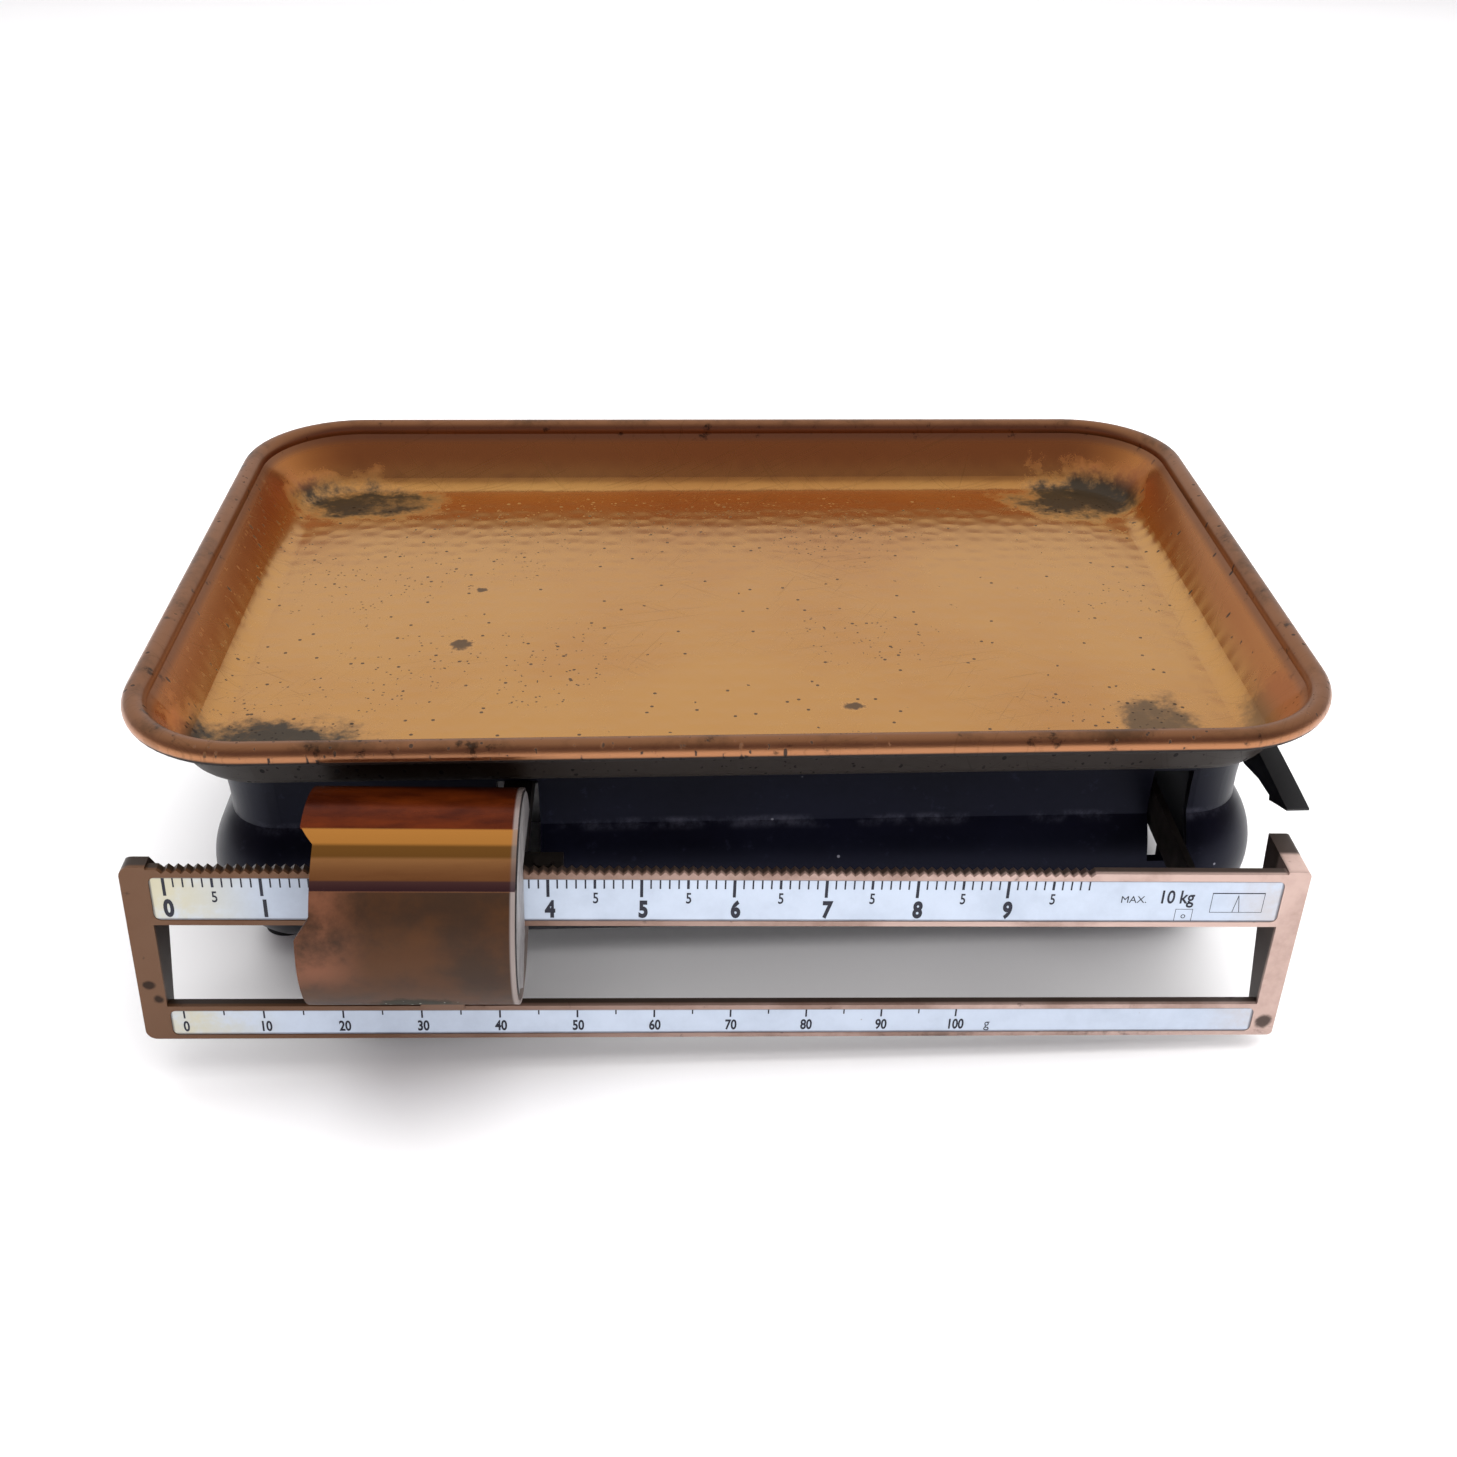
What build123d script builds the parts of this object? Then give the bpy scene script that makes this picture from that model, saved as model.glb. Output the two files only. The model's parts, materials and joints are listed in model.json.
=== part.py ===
"""Household steelyard balance: copper tray over a black base, with a two-bar beam and a sliding poise.

Millimetres. X runs to the right along the beam, Y runs back, Z is up. The pieces are drawn around the
middle of the base, and saved with the origin on the table, under the middle of the whole outline. The beam
is drawn at rest, with its right end down on the stop.
"""

from build123d import *
from math import asin, cos, degrees, radians, sin
import os

os.makedirs("parts", exist_ok=True)

# ---- scales -------------------------------------------------------------------------------------
KG = 25.0                    # upper scale, mm per kilogram
NOTCHES_PER_KG = 10
NOTCHES = 100
GRAM = 2.15                  # lower scale, mm per gram
POISE_AT = 1.7               # kilograms that the large poise is set to
RIDER_AT = 30                # grams that the small poise is set to
REST_TILT = 1.7              # degrees that the beam hangs down to the right at rest

# ---- outline ------------------------------------------------------------------------------------
OUTLINE_X, OUTLINE_Y = -2.0, -20.45      # middle of the whole balance, seen from the middle of the base

# ---- tray ---------------------------------------------------------------------------------------
TRAY_LENGTH, TRAY_WIDTH, TRAY_CORNER = 340.0, 235.0, 38.0
TRAY_X, TRAY_Y = -2.0, -0.6  # its middle, a little off the middle of the base
TRAY_TOP, TRAY_DEPTH, TRAY_SHEET = 102.3, 22.0, 0.8
RIM_WIRE = 6.6               # outside diameter of the rolled rim
WALL_RUN = 12.0              # how far the sloping wall comes in from the rim to the floor
COVE = 9.0                   # radius between wall and floor

# ---- base ---------------------------------------------------------------------------------------
WAIST_LENGTH, WAIST_WIDTH, WAIST_CORNER, WAIST_Z = 304.6, 162.0, 17.0, 52.0
FLANGE_OUT, FLANGE_TOP, FLANGE_THICK = 4.7, 74.5, 3.5
BULGE_OUT, BULGE_Z = 7.0, 29.0
SKIRT_IN, SKIRT_Z = 5.0, 9.0
WALL, DECK_THICK = 3.0, 3.0
FOOT_X, FOOT_Y, FOOT_R = 143.5, 58.0, 7.0
FOOT_SCREW_IN = 4.0          # foot screws stand this much nearer the middle than the feet
FOOT_SCREW_HEAD_R, FOOT_SCREW_HEAD = 2.6, 2.0
FOOT_SOCKET = 4.0            # depth of the hole that takes the screw head
BOSS_R, BOSS_HEIGHT = 5.0, 16.0
SLOT_TOP, SLOT_BOTTOM, SLOT_WIDTH = 68.0, 39.0, 12.0
RIGHT_SLOT_X = 127.5
SCREW_R, SCREW_HEAD_R, SCREW_HEAD = 1.5, 3.0, 1.5

# ---- beam, in its own directions: along it, depth behind its front face, height from the upper plate ----
FULCRUM_X, FULCRUM_Z = -66.3, 53.0
LOAD_ARM = 16.0              # fulcrum edge to load edge
BEARING_Y, LOAD_Y = 60.0, 38.0
SCALE_ZERO_X, PLATE_TOP_Z, BEAM_FRONT_Y = -155.4, 67.4, -129.0   # while the beam is level
FRAME_LEFT, FRAME_RIGHT = -11.0, 309.4
WINDOW_LEFT, WINDOW_RIGHT = -4.1, 302.9
FRAME_TOP, FRAME_BOTTOM = 3.3, -55.2
UPPER_BAR_BOTTOM, LOWER_BAR_TOP, BAR_THICK = -15.5, -43.6, 3.2
NOTCH_FLOOR, NOTCH_TIP = 1.3, 2.5
PLATE_LEFT, PLATE_RIGHT = -3.6, 302.4
UPPER_PLATE_BOTTOM, LOWER_PLATE_TOP, LOWER_PLATE_BOTTOM = -13.8, -45.2, -53.7
PLATE_THICK, PLATE_SUNK, PLATE_GAP, PLATE_CORNER = 0.4, 0.2, 0.1, 1.8
SHAFT = 8.0
SHAFT_TOP = -0.4
ARM_TOP, ARM_TALL, ARM_THICK = -2.2, 12.0, 2.0
TAB_DEPTH, TAB_LENGTH, TAB_TOP = 14.0, 10.5, -1.0      # tab beside the left arm, riveted to the frame
RIGHT_ARM_AT = 279.0
RAIL_DEPTH, RAIL_THICK = 75.5, 3.0
KNIFE_TALL, KNIFE_HALF, KNIFE_LENGTH = 6.0, 3.0, 12.0

# ---- poises -------------------------------------------------------------------------------------
POISE_R, POISE_SHEET = 28.8, 1.0
POISE_HEIGHT = -5.2          # its axis, in line with the front face of the beam
POISE_BEFORE, POISE_AFTER = 3.7, 50.8      # ends of the sleeve either side of its index
POISE_SLOT_TOP, POISE_SLOT_BOTTOM, POISE_SLOT_FRONT = 5.0, -17.5, -1.2
RIDER_LENGTH, RIDER_GAP = 12.0, 0.2
RIDER_LIP, RIDER_BACK, RIDER_SKIN = 1.0, 8.5, 1.5

# ---- parallel stay ------------------------------------------------------------------------------
STAY_Z, STAY_THICK, STAY_PIN_R = 18.0, 3.0, 2.0
STEM = 8.0
RUN = 0.05                   # running clearance on a pin's radius
CONTACT = 0.02               # what is left between a knife edge and its seat, or the tray and its pads

TILT = radians(REST_TILT)
ALONG = (cos(TILT), 0, -sin(TILT))
DECK_UNDER = FLANGE_TOP - DECK_THICK
TRAY_UNDER = TRAY_TOP - TRAY_DEPTH - TRAY_SHEET
WALL_FRONT = -WAIST_WIDTH / 2
FULCRUM_AT, FULCRUM_HEIGHT = FULCRUM_X - SCALE_ZERO_X, FULCRUM_Z - PLATE_TOP_Z
LOAD_AT = FULCRUM_AT - LOAD_ARM


def beam_point(along, depth, height):
    """World place of a point of the tilted beam."""
    x = SCALE_ZERO_X + along - FULCRUM_X
    z = PLATE_TOP_Z + height - FULCRUM_Z
    return (
        FULCRUM_X + x * cos(TILT) + z * sin(TILT),
        BEAM_FRONT_Y + depth,
        FULCRUM_Z - x * sin(TILT) + z * cos(TILT),
    )


def beam_face(depth=0.0):
    """Plane of the beam seen from the front: x along the beam, y up, normal towards the front."""
    return Plane(origin=beam_point(0, depth, 0), x_dir=ALONG, z_dir=(0, -1, 0))


def beam_section(along, height=0.0):
    """Plane across the beam: x is depth, y is height, normal along the beam to the right."""
    return Plane(origin=beam_point(along, 0, height), x_dir=(0, 1, 0), z_dir=ALONG)


def upright(y):
    """Upright world plane at a distance back: x to the right, y up, normal towards the front."""
    return Plane(origin=(0, y, 0), x_dir=(1, 0, 0), z_dir=(0, -1, 0))


def crosswise(x):
    """Upright world plane at a distance to the right: x back, y up, normal to the right."""
    return Plane(origin=(x, 0, 0), x_dir=(0, 1, 0), z_dir=(1, 0, 0))


def box_face(left, right, bottom, top, radius=0.0, mode=Mode.ADD):
    """Rectangle of a sketch given by its four sides."""
    with Locations(((left + right) / 2, (bottom + top) / 2)):
        if radius:
            RectangleRounded(right - left, top - bottom, radius, mode=mode)
        else:
            Rectangle(right - left, top - bottom, mode=mode)


def outline(*points, mode=Mode.ADD):
    """Face inside a closed run of straight lines."""
    Polygon(*points, align=None, mode=mode)


def save(builder, name):
    builder.part.label = name
    export_step(Pos(-OUTLINE_X, -OUTLINE_Y) * builder.part, f"parts/{name}.step")


LOAD_X, _, LOAD_Z = beam_point(LOAD_AT, 0, FULCRUM_HEIGHT)
STEM_PIN_Z = STAY_Z + LOAD_Z - FULCRUM_Z
POISE_INDEX = POISE_AT * KG
FOOT_SCREWS = [Pos(x * (FOOT_X - FOOT_SCREW_IN), y * FOOT_Y, 0) for x in (-1, 1) for y in (-1, 1)]
UPSIDE_DOWN = Rot(180, 0, 0)
STAY_SCREWS_X, STAY_SCREWS_Y = (-53.0, -45.0), 18.0
REST_SCREWS_X, REST_SCREWS_Y = (106.0, 114.0), -69.0
SCREW_PLACES = (
    [(FULCRUM_X + dx, y) for dx in (-10, 10) for y in (-BEARING_Y, BEARING_Y)]
    + [(x, STAY_SCREWS_Y) for x in STAY_SCREWS_X]
    + [(x, REST_SCREWS_Y) for x in REST_SCREWS_X]
)

# ---- base casing --------------------------------------------------------------------------------
with BuildPart() as base_casing:
    with BuildLine(Plane.XY.offset(WAIST_Z)) as waist_line:
        FilletPolyline(
            (0, WALL_FRONT),
            (WAIST_LENGTH / 2, WALL_FRONT),
            (WAIST_LENGTH / 2, -WALL_FRONT),
            (-WAIST_LENGTH / 2, -WALL_FRONT),
            (-WAIST_LENGTH / 2, WALL_FRONT),
            radius=[0] + 4 * [WAIST_CORNER],
            close=True,
        )
    # section of the wall at the front: x outwards from the waist, y up from it
    with BuildSketch(Plane(origin=(0, WALL_FRONT, WAIST_Z), x_dir=(0, -1, 0), z_dir=(-1, 0, 0))):
        top, under = FLANGE_TOP - WAIST_Z, FLANGE_TOP - FLANGE_THICK - WAIST_Z
        bulge, skirt = BULGE_Z - WAIST_Z, SKIRT_Z - WAIST_Z
        with BuildLine():
            ThreePointArc((0, 0), (0.3, under / 2), (1.8, under))
            Polyline((1.8, under), (FLANGE_OUT, under), (FLANGE_OUT, top), (-WALL, top), (-WALL, -1))
            ThreePointArc((-WALL, -1), (BULGE_OUT - WALL, bulge), (-SKIRT_IN - WALL, skirt))
            Line((-SKIRT_IN - WALL, skirt), (-SKIRT_IN, skirt))
            ThreePointArc((-SKIRT_IN, skirt), (BULGE_OUT, bulge), (0, 0))
        make_face()
    sweep(path=waist_line.line)
    with BuildSketch(Plane.XY.offset(DECK_UNDER)):
        RectangleRounded(WAIST_LENGTH - WALL, WAIST_WIDTH - WALL, WAIST_CORNER - WALL / 2)
        with Locations((LOAD_X, 0)):
            Rectangle(26, 96, mode=Mode.SUBTRACT)
    extrude(amount=DECK_THICK)
    with BuildSketch(Plane.XY.offset(SKIRT_Z)):
        with Locations(*FOOT_SCREWS):
            Circle(BOSS_R)
    extrude(amount=BOSS_HEIGHT)
    with BuildSketch(upright(WALL_FRONT + WALL + 6)):
        for x in (FULCRUM_X, RIGHT_SLOT_X):
            box_face(x - SLOT_WIDTH / 2, x + SLOT_WIDTH / 2, SLOT_BOTTOM, SLOT_TOP)
    extrude(amount=24, mode=Mode.SUBTRACT)
    with Locations(*[(x, y, FLANGE_TOP) for x, y in SCREW_PLACES]):
        CounterBoreHole(SCREW_R, SCREW_HEAD_R, SCREW_HEAD, depth=DECK_THICK)
    with Locations(*[place * Pos(0, 0, SKIRT_Z) * UPSIDE_DOWN for place in FOOT_SCREWS]):
        Hole(SCREW_R, depth=10)
save(base_casing, "base_casing")

with BuildPart() as rubber_feet:
    with BuildSketch():
        with GridLocations(2 * FOOT_X, 2 * FOOT_Y, 2, 2):
            Circle(FOOT_R)
    extrude(amount=SKIRT_Z)
    with Locations(*[place * UPSIDE_DOWN for place in FOOT_SCREWS]):
        CounterBoreHole(SCREW_R, FOOT_SCREW_HEAD_R, FOOT_SOCKET, depth=SKIRT_Z)
save(rubber_feet, "rubber_feet")

with BuildPart() as foot_screws:
    with BuildSketch(Plane.XY.offset(FOOT_SOCKET - FOOT_SCREW_HEAD)):
        with Locations(*FOOT_SCREWS):
            Circle(FOOT_SCREW_HEAD_R)
    extrude(amount=FOOT_SCREW_HEAD)
    with BuildSketch(Plane.XY.offset(FOOT_SOCKET)):
        with Locations(*FOOT_SCREWS):
            Circle(SCREW_R)
    extrude(amount=SKIRT_Z + 4)
save(foot_screws, "foot_screws")

# ---- index horn: a beak that reaches forward over the lug of the beam ----------------------------
HORN_LEFT, HORN_RIGHT = 150.0, 156.5
HORN_ROOT_Y, HORN_TIP_Y, HORN_TIP_Z = -60.0, BEAM_FRONT_Y + 15.0, 74.7
TONGUE = 3.0                 # thickness of the plate that is riveted to the flange
RIVET_HEAD_R, RIVET_HEAD = 2.4, 1.2
HORN_RIVETS = [(140.0, -66.0), (147.0, -66.0)]
with BuildPart() as index_horn:
    with BuildSketch(crosswise(HORN_LEFT)):
        with BuildLine():
            Line((HORN_ROOT_Y, FLANGE_TOP), (HORN_ROOT_Y, FLANGE_TOP + TONGUE))
            Line((HORN_ROOT_Y, FLANGE_TOP + TONGUE), (-78, FLANGE_TOP + TONGUE))
            ThreePointArc((-78, FLANGE_TOP + TONGUE), (-97, 76.6), (HORN_TIP_Y, HORN_TIP_Z + 0.6))
            Line((HORN_TIP_Y, HORN_TIP_Z + 0.6), (HORN_TIP_Y, HORN_TIP_Z))
            ThreePointArc((HORN_TIP_Y, HORN_TIP_Z), (-107, 72.0), (-100.6, 69.4))
            Polyline((-100.6, 69.4), (-100.2, 70.8), (-90, 70.0), (-78, 67.2), (-70, 67.2))
            Line((-70, 67.2), (-70, FLANGE_TOP))
            Line((-70, FLANGE_TOP), (HORN_ROOT_Y, FLANGE_TOP))
        make_face()
    extrude(amount=HORN_RIGHT - HORN_LEFT)
    with BuildSketch(Plane.XY.offset(FLANGE_TOP)):
        box_face(134, HORN_LEFT, -72, HORN_ROOT_Y)
    extrude(amount=TONGUE)
    add(base_casing.part, mode=Mode.SUBTRACT)
    with Locations(*[(x, y, FLANGE_TOP + TONGUE) for x, y in HORN_RIVETS]):
        CounterBoreHole(SCREW_R, RIVET_HEAD_R, RIVET_HEAD, depth=TONGUE)
save(index_horn, "index_horn")

with BuildPart() as horn_rivets:
    with BuildSketch(Plane.XY.offset(FLANGE_TOP)):
        with Locations(*HORN_RIVETS):
            Circle(SCREW_R)
    extrude(amount=TONGUE - RIVET_HEAD)
    with BuildSketch(Plane.XY.offset(FLANGE_TOP + TONGUE - RIVET_HEAD)):
        with Locations(*HORN_RIVETS):
            Circle(RIVET_HEAD_R)
    extrude(amount=RIVET_HEAD)
save(horn_rivets, "horn_rivets")

# ---- what hangs under the deck ------------------------------------------------------------------
SEAT_HALF, SEAT_DEEP, SEAT_LIP = 6.0, 8.0, 2.5
BRACKET_LEG, BRACKET_THICK = 7.0, 8.0


def bearing_bracket(y):
    """Stirrup that hangs from the deck with the fulcrum seat in its bottom."""
    with BuildPart() as bracket:
        with BuildSketch(upright(y + BRACKET_THICK / 2)):
            out = SEAT_HALF + BRACKET_LEG
            box_face(FULCRUM_X - out, FULCRUM_X + out, FULCRUM_Z - SEAT_DEEP - 4, DECK_UNDER)
            box_face(
                FULCRUM_X - SEAT_HALF,
                FULCRUM_X + SEAT_HALF,
                FULCRUM_Z - SEAT_DEEP,
                DECK_UNDER,
                mode=Mode.SUBTRACT,
            )
        extrude(amount=BRACKET_THICK)
        with Locations((FULCRUM_X - 10, y, DECK_UNDER), (FULCRUM_X + 10, y, DECK_UNDER)):
            Hole(SCREW_R, depth=8)
    return bracket


save(bearing_bracket(-BEARING_Y), "bearing_bracket_front")
save(bearing_bracket(BEARING_Y), "bearing_bracket_rear")

with BuildPart() as fulcrum_seats:
    for y in (-BEARING_Y, BEARING_Y):
        with BuildSketch(upright(y + BRACKET_THICK / 2)):
            with Locations((FULCRUM_X, FULCRUM_Z)):
                box_face(-SEAT_HALF, SEAT_HALF, -SEAT_DEEP, SEAT_LIP)
                outline((-4.6, SEAT_LIP), (0, -CONTACT), (4.6, SEAT_LIP), mode=Mode.SUBTRACT)
        extrude(amount=BRACKET_THICK)
save(fulcrum_seats, "fulcrum_seats")

STAY_FRONT_Y = STEM / 2 + 0.4
STAY_BRACKET_Y = STAY_FRONT_Y + STAY_THICK + 0.4
with BuildPart() as stay_bracket:
    with BuildSketch(upright(STAY_BRACKET_Y + 4)):
        outline((-56, DECK_UNDER), (-42, DECK_UNDER), (-42, 10), (-72, 10), (-72, 25), (-56, 25))
        with Locations((FULCRUM_X, STAY_Z)):
            Circle(STAY_PIN_R, mode=Mode.SUBTRACT)
    extrude(amount=4)
    with BuildSketch(Plane.XY.offset(DECK_UNDER - 4)):
        box_face(-56, -42, STAY_BRACKET_Y + 4, 24)
    extrude(amount=4)
    with Locations(*[(x, STAY_SCREWS_Y, DECK_UNDER) for x in STAY_SCREWS_X]):
        Hole(SCREW_R, depth=4)
save(stay_bracket, "stay_bracket")

with BuildPart() as stay_pin:
    with BuildSketch(upright(STAY_BRACKET_Y + 4)):
        with Locations((FULCRUM_X, STAY_Z)):
            Circle(STAY_PIN_R)
    extrude(amount=STAY_THICK + 5.2)
save(stay_pin, "stay_pin")

REST_X, REST_HALF = 110.0, 6.0
RAIL_Y = BEAM_FRONT_Y + RAIL_DEPTH
REST_AT = REST_X - SCALE_ZERO_X
REST_TOP = beam_point(REST_AT + REST_HALF, 0, ARM_TOP - ARM_TALL)[2] - CONTACT
PAD = 3.0
with BuildPart() as rest_bracket:
    with BuildSketch(crosswise(REST_X - REST_HALF)):
        foot = REST_TOP - PAD
        outline(
            (-76, DECK_UNDER),
            (-59, DECK_UNDER),
            (-59, foot),
            (RAIL_Y + 8, foot),
            (RAIL_Y + 8, foot - 3),
            (-62, foot - 3),
            (-62, DECK_UNDER - 3),
            (-76, DECK_UNDER - 3),
        )
    extrude(amount=2 * REST_HALF)
    with Locations(*[(x, REST_SCREWS_Y, DECK_UNDER) for x in REST_SCREWS_X]):
        Hole(SCREW_R, depth=3)
save(rest_bracket, "rest_bracket")

with BuildPart() as rest_pad:
    with BuildSketch(Plane.XY.offset(REST_TOP - PAD)):
        box_face(REST_X - REST_HALF, REST_X + REST_HALF, RAIL_Y - 4, RAIL_Y + 7)
    extrude(amount=PAD)
save(rest_pad, "rest_pad")

with BuildPart() as deck_screws:
    for x, y in SCREW_PLACES:
        with BuildSketch(Plane((x, y, FLANGE_TOP - SCREW_HEAD))):
            Circle(SCREW_HEAD_R)
        extrude(amount=SCREW_HEAD)
        with BuildSketch(Plane((x, y, DECK_UNDER - 3))):
            Circle(SCREW_R)
        extrude(amount=3 + DECK_THICK - SCREW_HEAD)
save(deck_screws, "deck_screws")

# ---- beam frame: two bars, two uprights, the notches, and the pockets for the plates -------------
LUG_DEPTH = 19.0
STEP = KG / NOTCHES_PER_KG
TOOTH = ((0, NOTCH_FLOOR), (STEP / 2, NOTCH_TIP))
notch_edge = [(k * STEP + side, height) for k in range(NOTCHES) for side, height in TOOTH]
# the back edge of an upright, from below its top to its thin foot, and round behind it
UPRIGHT_BACK = ((12, -25), (6.5, -46), (BAR_THICK, FRAME_BOTTOM), (30, FRAME_BOTTOM), (30, FRAME_TOP))
PLATE_PLACES = (
    ("upper_scale_plate", UPPER_PLATE_BOTTOM, 0.0),
    ("lower_scale_plate", LOWER_PLATE_BOTTOM, LOWER_PLATE_TOP),
)
with BuildPart() as beam_frame:
    with BuildSketch(beam_face()):
        outline(
            (WINDOW_LEFT, FRAME_BOTTOM),
            (WINDOW_LEFT, NOTCH_TIP),
            (-STEP / 2, NOTCH_TIP),
            *notch_edge,
            (WINDOW_RIGHT, NOTCH_TIP),
            (WINDOW_RIGHT, FRAME_BOTTOM),
        )
        box_face(WINDOW_LEFT, WINDOW_RIGHT, LOWER_BAR_TOP, UPPER_BAR_BOTTOM, mode=Mode.SUBTRACT)
    extrude(amount=-BAR_THICK)
    with BuildSketch(beam_face()):
        box_face(FRAME_LEFT, WINDOW_LEFT, FRAME_BOTTOM, FRAME_TOP)
        box_face(WINDOW_RIGHT, FRAME_RIGHT, FRAME_BOTTOM, FRAME_TOP)
        fillet(vertices().group_by(Axis((0, 0, 0), ALONG))[0], radius=3)
        fillet(vertices().group_by(Axis((0, 0, 0), ALONG))[-1], radius=1.5)
    extrude(amount=-LUG_DEPTH)
    # the uprights taper to thin feet, and the left one has no lug
    with BuildSketch(beam_section(WINDOW_RIGHT)):
        outline((LUG_DEPTH, FRAME_TOP), (17.5, -9), *UPRIGHT_BACK)
    extrude(amount=FRAME_RIGHT - WINDOW_RIGHT, mode=Mode.SUBTRACT)
    with BuildSketch(beam_section(FRAME_LEFT)):
        outline((5, FRAME_TOP), (13.5, -7), *UPRIGHT_BACK)
    extrude(amount=WINDOW_LEFT - FRAME_LEFT, mode=Mode.SUBTRACT)
    with BuildSketch(beam_face()):
        left, right = PLATE_LEFT - PLATE_GAP, PLATE_RIGHT + PLATE_GAP
        for _, low, high in PLATE_PLACES:
            box_face(left, right, low - PLATE_GAP, high + PLATE_GAP, PLATE_CORNER + PLATE_GAP)
    extrude(amount=-(PLATE_THICK + PLATE_SUNK), mode=Mode.SUBTRACT)
    # ledge that the foot of the left arm is riveted to
    with BuildSketch(beam_section(FULCRUM_AT + SHAFT / 2 + 0.5)):
        box_face(BAR_THICK, TAB_DEPTH, TAB_TOP - 5, TAB_TOP - 2)
    extrude(amount=TAB_LENGTH - 0.5)
save(beam_frame, "beam_frame")

for name, low, high in PLATE_PLACES:
    with BuildPart() as scale_plate:
        with BuildSketch(beam_face(PLATE_SUNK)):
            box_face(PLATE_LEFT, PLATE_RIGHT, low, high, PLATE_CORNER)
        extrude(amount=-PLATE_THICK)
    save(scale_plate, name)

# ---- the lever behind the beam ------------------------------------------------------------------
SHAFT_END = 199.0
with BuildPart() as left_arm:
    with BuildSketch(beam_section(FULCRUM_AT - SHAFT / 2)):
        box_face(BAR_THICK, SHAFT_END, SHAFT_TOP - SHAFT, SHAFT_TOP)
    extrude(amount=SHAFT)
    with BuildSketch(beam_section(FULCRUM_AT + SHAFT / 2)):
        box_face(BAR_THICK, TAB_DEPTH, TAB_TOP - 2, TAB_TOP)
    extrude(amount=TAB_LENGTH)
save(left_arm, "left_arm")

with BuildPart() as right_arm:
    with BuildSketch(beam_section(RIGHT_ARM_AT - ARM_THICK / 2)):
        box_face(BAR_THICK, RAIL_DEPTH + RAIL_THICK, ARM_TOP - ARM_TALL, ARM_TOP)
    extrude(amount=ARM_THICK)
    with BuildSketch(beam_section(RIGHT_ARM_AT - 12)):
        box_face(BAR_THICK, BAR_THICK + 2, ARM_TOP - ARM_TALL, ARM_TOP)
    extrude(amount=12)
save(right_arm, "right_arm")

ROD_DEPTH, ROD_HEIGHT, ROD_R = 88.0, -7.0, 2.0
ROD_FROM, ROD_TO, LUG_THICK = 188.0, 240.0, 3.0
with BuildPart() as lever_rail:
    with BuildSketch(beam_section(FULCRUM_AT + SHAFT / 2)):
        box_face(RAIL_DEPTH, RAIL_DEPTH + RAIL_THICK, ARM_TOP - ARM_TALL, ARM_TOP)
    extrude(amount=RIGHT_ARM_AT - ARM_THICK / 2 - FULCRUM_AT - SHAFT / 2)
    for along in (ROD_FROM, ROD_TO):
        with BuildSketch(beam_section(along)):
            box_face(RAIL_DEPTH + RAIL_THICK, ROD_DEPTH + 4, ARM_TOP - ARM_TALL, ARM_TOP)
            with Locations((ROD_DEPTH, ROD_HEIGHT)):
                Circle(ROD_R, mode=Mode.SUBTRACT)
        extrude(amount=LUG_THICK)
save(lever_rail, "lever_rail")

with BuildPart() as zero_rod:
    with BuildSketch(beam_section(ROD_FROM)):
        with Locations((ROD_DEPTH, ROD_HEIGHT)):
            Circle(ROD_R)
    extrude(amount=ROD_TO + LUG_THICK - ROD_FROM)
save(zero_rod, "zero_rod")

NUT_R, NUT_LENGTH = 7.0, 10.0
with BuildPart() as zero_nut:
    with BuildSketch(beam_section((ROD_FROM + ROD_TO + LUG_THICK - NUT_LENGTH) / 2)):
        with Locations((ROD_DEPTH, ROD_HEIGHT)):
            Circle(NUT_R)
            Circle(ROD_R + RUN, mode=Mode.SUBTRACT)
    extrude(amount=NUT_LENGTH)
save(zero_nut, "zero_nut")

with BuildPart() as load_arms:
    for y in (-LOAD_Y, LOAD_Y):
        with BuildSketch(beam_face(y - BEAM_FRONT_Y + 3)):
            bar, foot = FULCRUM_AT - SHAFT / 2, FULCRUM_HEIGHT - KNIFE_TALL
            outline(
                (bar, SHAFT_TOP),
                (bar, foot - 5),
                (LOAD_AT - 4, foot - 5),
                (LOAD_AT - 4, foot),
                (bar - 4.5, foot),
                (bar - 4.5, SHAFT_TOP),
            )
        extrude(amount=6)
save(load_arms, "load_arms")

with BuildPart() as fulcrum_knives:
    for y in (-BEARING_Y, BEARING_Y):
        with BuildSketch(beam_face(y - BEAM_FRONT_Y + KNIFE_LENGTH / 2)):
            with Locations((FULCRUM_AT, FULCRUM_HEIGHT)):
                outline((-KNIFE_HALF, KNIFE_TALL), (0, 0), (KNIFE_HALF, KNIFE_TALL))
        extrude(amount=KNIFE_LENGTH)
save(fulcrum_knives, "fulcrum_knives")

with BuildPart() as load_knives:
    for y in (-LOAD_Y, LOAD_Y):
        with BuildSketch(beam_face(y - BEAM_FRONT_Y + KNIFE_LENGTH / 2)):
            with Locations((LOAD_AT, FULCRUM_HEIGHT)):
                outline((-KNIFE_HALF, -KNIFE_TALL), (0, 0), (KNIFE_HALF, -KNIFE_TALL))
        extrude(amount=KNIFE_LENGTH)
save(load_knives, "load_knives")

TAB_MIDDLE = beam_point(FULCRUM_AT + (SHAFT + TAB_LENGTH) / 2, (BAR_THICK + TAB_DEPTH) / 2, TAB_TOP)
with BuildPart() as arm_rivets:
    with BuildSketch(Plane(origin=TAB_MIDDLE, x_dir=ALONG, z_dir=(sin(TILT), 0, cos(TILT)))):
        Circle(2.6)
    extrude(amount=1)
    for height in (-3.5, -10.5):
        with BuildSketch(beam_face(BAR_THICK + 2)):
            with Locations((RIGHT_ARM_AT - 7, height)):
                Circle(1.8)
        extrude(amount=-1)
save(arm_rivets, "arm_rivets")

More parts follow.
